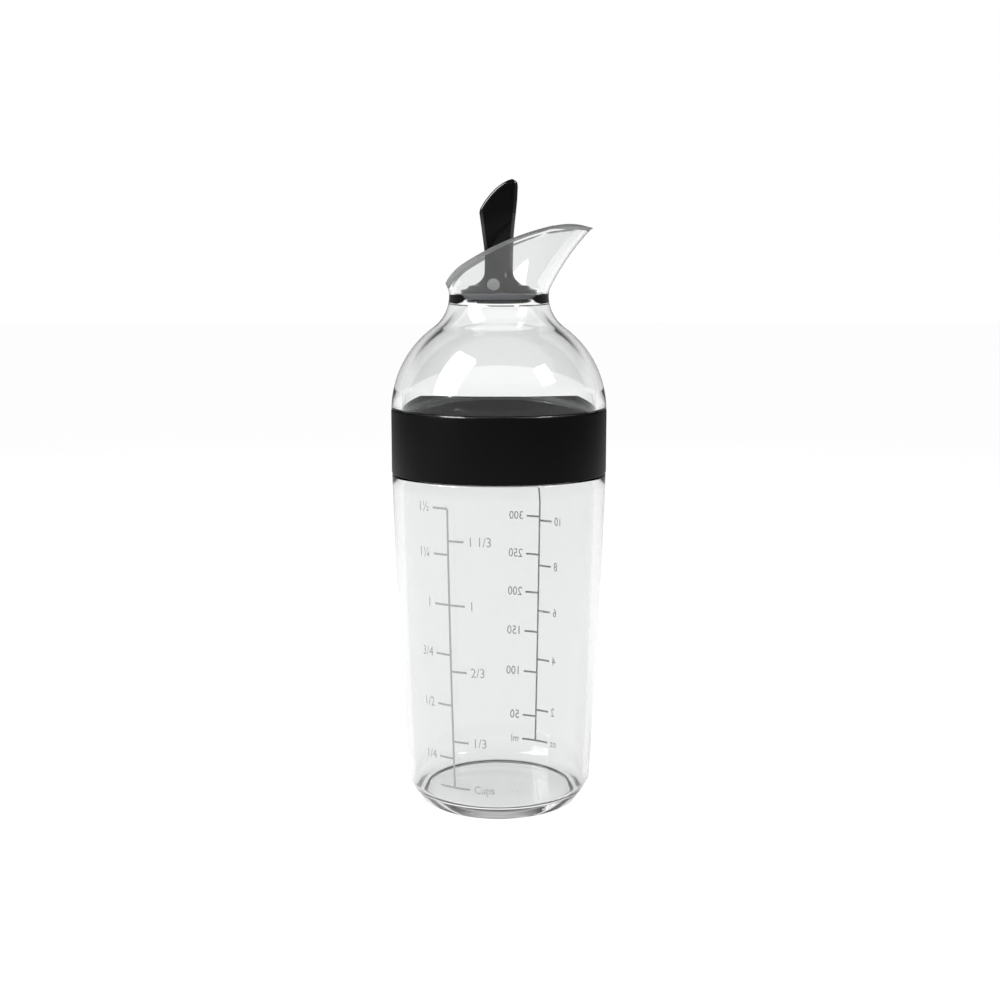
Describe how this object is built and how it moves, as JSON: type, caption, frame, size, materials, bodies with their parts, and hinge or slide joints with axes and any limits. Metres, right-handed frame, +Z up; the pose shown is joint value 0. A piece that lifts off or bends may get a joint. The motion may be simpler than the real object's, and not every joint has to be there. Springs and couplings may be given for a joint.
{
  "type": "salad dressing shaker bottle",
  "caption": "Clear tapered shaker bottle with printed volume scales, a black-collared screw-on dome lid, a trimmed funnel spout and a flip lever that tilts a sealed stopper",
  "frame": {"origin": "Centre of the ring that the cup stands on, at table height, on the axis of the bottle", "axes": "+Z up along the bottle's axis, +X toward the pouring lip, +Y to the left of someone who looks along +X; the XZ plane is the mirror plane"},
  "size_m": [0.0762, 0.0762, 0.2206],
  "materials": {
    "clear_cup": "polished clear plastic",
    "clear_lid": "polished clear plastic",
    "clear_silicone": "soft translucent silicone",
    "collar_black": "satin soft-touch black",
    "lever_black": "high gloss black",
    "stopper_black": "gloss black",
    "seal_grey": "matte grey silicone"
  },
  "bodies": {
    "cup": {"cup": "clear_cup"},
    "lid_gasket": {"lid_gasket": "clear_silicone"},
    "lid": {"lid_dome": "clear_lid", "grip_collar": "collar_black"},
    "stopper": {"flip_lever": "lever_black", "stopper_cap": "stopper_black", "stopper_seal": "seal_grey", "stopper_retainer": "stopper_black"}
  },
  "joints": [
    {"name": "lid_lift", "type": "slide", "parent": "cup", "child": "lid_gasket", "axis": [0, 0, 1], "range_m": [0, 0.06]},
    {"name": "lid_turn", "type": "hinge", "parent": "lid_gasket", "child": "lid", "pos_m": [0, 0, 0.13], "axis": [0, 0, 1], "range_deg": [0, 180]},
    {"name": "lever_flip", "type": "hinge", "parent": "lid", "child": "stopper", "pos_m": [-0.0018, 0, 0.1851], "axis": [0, -1, 0], "range_deg": [0, 65]}
  ]
}
